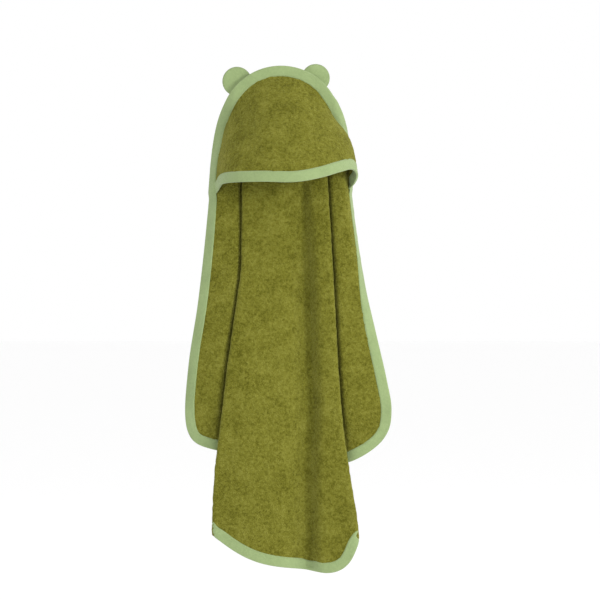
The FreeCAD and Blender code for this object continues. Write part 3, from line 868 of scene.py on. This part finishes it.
EARS = {"ear_left": (-0.0825, -0.0202, 0.0274), "ear_right": (0.0650, -0.0140, 0.0264)}
EAR_DEPTH = 0.0072
EAR_TUCK = 0.009
EAR_RINGS = 16
EAR_AROUND = 96
EAR_FLAT = 0.0008
EAR_PUFF = 0.0019
EAR_PUFF_OUT = 0.9
EAR_SET_FORWARD = 0.0036


def ear_face(centre, up, radius, base, way, thin):
    """Rings of one cotton layer: puffed inside the seam, flat outside it, and cut straight at the base."""
    aside = np.array([up[2], 0, -up[0]])
    angles = np.linspace(0, 2 * math.pi, EAR_AROUND, endpoint=False)
    reach = np.minimum(radius, base / np.maximum(-np.sin(angles), 1e-6))
    reach = smoothed(reach, True, 3)
    points = []
    for ring in range(EAR_RINGS):
        share = ring / (EAR_RINGS - 1)
        flat = reach * share
        rise = flat * np.sin(angles)
        puff = math.sqrt(max(0.0, 1 - (share / EAR_PUFF_OUT) ** 2))
        high = EAR_FLAT + EAR_PUFF * puff - thin
        high = max(high if share < 0.99 else 0.5 * high, 0.0001)
        tuck = EAR_SET_FORWARD * (1 - smooth(-base, 0.004, rise))
        depth = EAR_DEPTH - tuck + way * high
        spots = centre + aside * (flat * np.cos(angles))[:, None] + up * rise[:, None]
        spots[:, 1] = depth
        points.append(spots)
    points[0] = points[0][:1]
    return np.concatenate(points)


def ear_faces(start, flip):
    faces = []
    for turn in range(EAR_AROUND):
        after = (turn + 1) % EAR_AROUND
        faces.append([start, start + 1 + turn, start + 1 + after])
        for ring in range(EAR_RINGS - 2):
            low = start + 1 + ring * EAR_AROUND
            faces.append([low + turn, low + EAR_AROUND + turn, low + EAR_AROUND + after, low + after])
    return [face[::-1] for face in faces] if flip else faces


def make_ear(name):
    x, z, radius = EARS[name]
    centre = np.array([x, EAR_DEPTH, z])
    over = np.array([x, 0, z - (CROWN_TOP - CROWN_RADIUS)])
    up = unit(over)
    base = np.linalg.norm(over) - CROWN_RADIUS + EAR_TUCK
    hinge = centre - up * (np.linalg.norm(over) - CROWN_RADIUS)
    bend = ("towel", name, hang(hinge - up * 0.004), hang(hinge + up * 0.012))
    for part, way in (("front", -1), ("back", 1)):
        outer = ear_face(centre, up, radius, base, way, 0.0)
        inner = ear_face(centre, up, radius - 0.0003, base, way, 0.0006)
        count = len(outer)
        faces = ear_faces(0, way < 0) + ear_faces(count, way > 0)
        last = count - EAR_AROUND
        for turn in range(EAR_AROUND):
            a, b = last + turn, last + (turn + 1) % EAR_AROUND
            quad = [a, b, b + count, a + count]
            faces.append(quad if way < 0 else quad[::-1])
        points = np.concatenate([outer, inner])
        piece = mesh_object(f"{name}_{part}_cotton", points, faces, points[:, [0, 2]])
        dress(piece, EAR_LOOK, "ear_cotton", bend, f"{name}_{part}")
    make_ear_wadding(name, centre, up, radius, base, bend)
    lines = []
    for way in (-1, 1):
        rings = ear_face(centre, up, radius, base, way, -0.0002)
        seam = rings[1 + (EAR_RINGS - 3) * EAR_AROUND:][:EAR_AROUND]
        seam = seam[(seam - centre) @ up > -base + 0.004]
        aside = (seam - centre) @ np.array([up[2], 0, -up[0]])
        order = np.argsort(np.arctan2((seam - centre) @ up, aside) % math.tau)
        lines.append(grains(seam[order], np.tile([0.0, way, 0.0], (len(seam), 1))))
    stitches = stitch_mesh(f"{name}_stitches", lines)
    dress(stitches, THREAD_LOOK, "thread", bend, f"{name}_stitching")


def make_ear_wadding(name, centre, up, radius, base, bend):
    """A thin disc of wadding that fills the space between the two cotton layers."""
    sides = [ear_face(centre, up, radius * 0.87, base * 0.87, way, 0.0009) for way in (-1, 1)]
    count = len(sides[0])
    last = count - EAR_AROUND
    quads = [[last + b, last + a, last + a + count, last + b + count]
             for a, b in zip(range(EAR_AROUND), np.roll(range(EAR_AROUND), -1))]
    points = np.concatenate(sides)
    faces = ear_faces(0, True) + ear_faces(count, False) + quads
    piece = mesh_object(f"{name}_filling", points, faces, points[:, [0, 2]])
    dress(piece, WADDING_LOOK, "wadding", bend, f"{name}_wadding")


def hang(point):
    return (point[0], point[1] - HANG, point[2])


# The hanging loop and the label


LOOP_RINGS = 64
LOOP_THICK = 0.0014


def make_loop():
    """A folded tape bent to an arch whose feet twist to face the towel's back, with bar tacks."""
    low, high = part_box("hanging_loop")
    half = (high.x - low.x) / 2 - LOOP_THICK / 2
    wide = (high.y - low.y) / 2
    deep = (low.y + high.y) / 2 + HANG
    arch_high = high.z - LOOP_THICK / 2
    turns = np.linspace(0, math.pi, 25)
    heights = arch_high - half + half * np.sin(turns)
    arch = np.stack([-half * np.cos(turns), np.full(25, deep), heights], axis=1)
    feet = np.linspace(0, 1, 9)[:-1, None]
    left = np.array([-half - 0.001, deep - 0.0046, low.z]) * (1 - feet) + arch[0] * feet
    right = left[::-1] * [-1, 1, 1]
    path = resample(np.concatenate([left, arch, right]), LOOP_RINGS)
    ahead = unit(np.gradient(path, axis=0))
    twist = (math.pi / 2) * (1 - smooth(0, 0.012, path[:, 2] - low.z))
    sideways = np.stack([np.sin(twist) * np.sign(path[:, 0]), np.cos(twist), np.zeros(LOOP_RINGS)], axis=1)
    sideways = unit(sideways - ahead * np.sum(sideways * ahead, axis=1)[:, None])
    normal = unit(np.cross(ahead, sideways))
    profile = [(-1, 0.35), (-0.93, 0.85), (-0.6, 1), (0, 0.9), (0.6, 1), (0.93, 0.85), (1, 0.35)]
    profile += [(a, -b) for a, b in profile[::-1]]
    ring = np.stack([path + sideways * wide * a + normal * LOOP_THICK / 2 * b for a, b in profile], axis=1)
    weave = np.arange(len(profile))[None] * 0.0012
    uvs = np.stack(np.broadcast_arrays(lengths_along(path)[:, None], weave), axis=-1)
    piece = mesh_object("hanging_loop_tape", ring, tube_faces(LOOP_RINGS, len(profile)), uvs)
    dress(piece, TAPE_LOOK, "bias_tape", "loop", "hanging_loop")
    tacks = []
    for spot, across in ((ring[2].mean(0), sideways[2]), (ring[-3].mean(0), sideways[-3])):
        for row in np.linspace(-0.0007, 0.0007, 5):
            middle = spot + np.array([0, 0, row + 0.0012])
            steps = np.linspace(-0.8, 0.8, 4)[:, None] * across * wide
            spots = middle + steps
            for way in (-1, 1):
                face = np.array([0, way * 1.0, 0])
                tacks.append((spots + face * 0.0008, np.tile(across, (4, 1)), np.tile(face, (4, 1))))
    thread = stitch_mesh("loop_tack_threads", tacks)
    dress(thread, THREAD_LOOK, "thread", "loop", "loop_bartacks")


def make_label():
    """A blank satin label, folded in two, that hangs from its sewn top with a slight bow."""
    low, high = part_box("care_label")
    wide, tall = high.x - low.x, high.z - low.z
    middle = (low.x + high.x) / 2
    deep = (low.y + high.y) / 2 + HANG
    down = np.linspace(0, 1, 17)
    bow = 0.0016 * np.sin(math.pi * down) * down - 0.001 * (1 - smooth(0, 0.2, down))
    front = np.stack([deep - 0.0003 + bow, high.z - tall * down], axis=1)
    fold = [[deep + 0.0002, low.z - 0.0001], [deep + 0.0004, low.z + 0.0002]]
    back = np.stack([deep + 0.0006 + bow + 0.0006 * down, high.z - tall * down], axis=1)[::-1][1:]
    path = np.concatenate([front, fold, back])
    slope = unit(np.gradient(path, axis=0))
    normal = np.stack([slope[:, 1], -slope[:, 0]], axis=1) * 0.00012
    columns = np.linspace(-0.5, 0.5, 9) * wide + middle
    layers = [path + normal, path - normal]
    grids = [np.stack([np.stack([np.full(len(path), x), layer[:, 0], layer[:, 1]], axis=1) for x in columns])
             for layer in layers]
    points = np.concatenate([grid.reshape(-1, 3) for grid in grids])
    piece = mesh_object("care_label_satin", points, shell_faces(*grids[0].shape[:2]))
    dress(piece, SATIN_LOOK, "label_satin", "label", "care_label")
    lines = []
    for y, way in ((deep - 0.0016, -1.0), (deep + 0.0001, 1.0)):
        out = np.linspace(-0.45, 0.45, 20) * wide + middle
        line = np.stack([out, np.full(20, y), np.full(20, high.z - 0.0012)], axis=1)
        lines.append(grains(line, np.tile([0, way, 0], (20, 1))))
    stitches = stitch_mesh("label_stitches", lines)
    dress(stitches, THREAD_LOOK, "thread", "label", "label_stitching")


make_towel()
make_hood()
make_loop()
make_label()
make_edge_binding()
make_hood_binding()
for ear_name in EARS:
    make_ear(ear_name)

# The studio


def make_studio():
    """A wide pale floor under the towel, in front of a white surround."""
    low, wide = -1.25, 40.0
    points = [(-wide, -wide, low), (wide, -wide, low), (wide, wide, low), (-wide, wide, low)]
    floor = mesh_object("floor", points, [[0, 1, 2, 3]])
    material, _, shader = new_material("floor", 0.9)
    shader.inputs["Base Color"].default_value = (0.98, 0.98, 0.98, 1)
    floor.data.materials.append(material)


def make_lamp(name, place, aim, power, wide):
    lamp = bpy.data.objects.new(name, bpy.data.lights.new(name, "AREA"))
    lamp.data.energy, lamp.data.size = power, wide
    lamp.location = place
    lamp.rotation_euler = (Vector(aim) - Vector(place)).to_track_quat("-Z", "Y").to_euler()
    bpy.context.scene.collection.objects.link(lamp)


def make_camera():
    distance, wide = 4.2, 1.125
    camera = bpy.data.objects.new("camera", bpy.data.cameras.new("camera"))
    bpy.context.scene.collection.objects.link(camera)
    camera.location = (0.0356, -distance, -0.43)
    camera.rotation_euler = (math.radians(90), 0, 0)
    camera.data.sensor_width = 36
    camera.data.lens = 36 * distance / wide
    bpy.context.scene.camera = camera


make_studio()
make_lamp("key", (3.4, -2.6, 0.5), (0, 0, -0.45), 105, 1.1)
make_lamp("fill", (-2.6, -2.6, 0.4), (0, 0, -0.45), 6, 2.0)
world = bpy.data.worlds.new("world")
world.use_nodes = True
world.node_tree.nodes["Background"].inputs[0].default_value = (1, 1, 1, 1)
world.node_tree.nodes["Background"].inputs[1].default_value = 1.0
bpy.context.scene.world = world
bpy.context.scene.view_settings.view_transform = "Standard"
make_camera()
